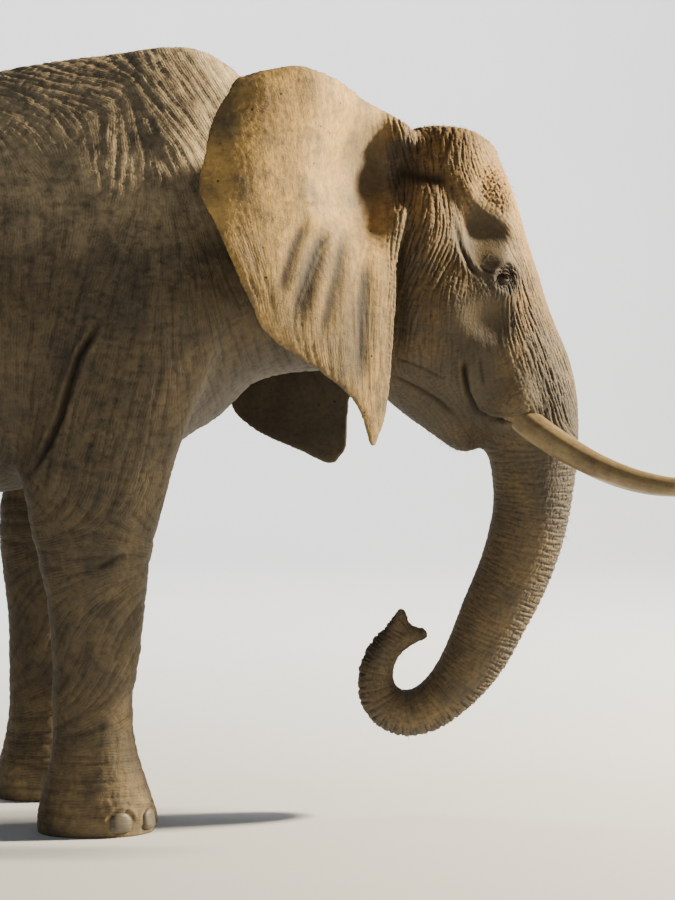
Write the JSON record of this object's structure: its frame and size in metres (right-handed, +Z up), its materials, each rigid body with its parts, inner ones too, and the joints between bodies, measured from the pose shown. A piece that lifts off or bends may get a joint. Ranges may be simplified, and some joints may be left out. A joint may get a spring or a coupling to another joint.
{
  "type": "elephant",
  "caption": "Adult African savanna elephant, life size, standing still with its trunk curled up at the tip.",
  "frame": {"origin": "middle of the model's box, on the floor under it", "axes": "+X forward, towards the head; +Y to the animal's left; +Z up"},
  "size_m": [4.2348, 1.3904, 2.3947],
  "materials": {
    "skin": "matte",
    "ivory": "satin",
    "eye": "gloss",
    "hair": "matte"
  },
  "bodies": {
    "root": {"torso": "skin", "neck": "skin", "head": "skin", "jaw": "skin", "trunk_upper": "skin", "trunk_middle": "skin", "trunk_lower": "skin", "trunk_curl": "skin", "trunk_tip": "skin", "tail": "skin", "ear_left": "skin", "ear_right": "skin", "foreleg_left": "skin", "foreleg_right": "skin", "forefoot_left": "skin", "forefoot_right": "skin", "hindleg_left": "skin", "hindleg_right": "skin", "hindfoot_left": "skin", "hindfoot_right": "skin", "tusk_left": "ivory", "tusk_right": "ivory", "eye_left": "eye", "eye_right": "eye", "tail_tuft": "hair"}
  },
  "joints": []
}
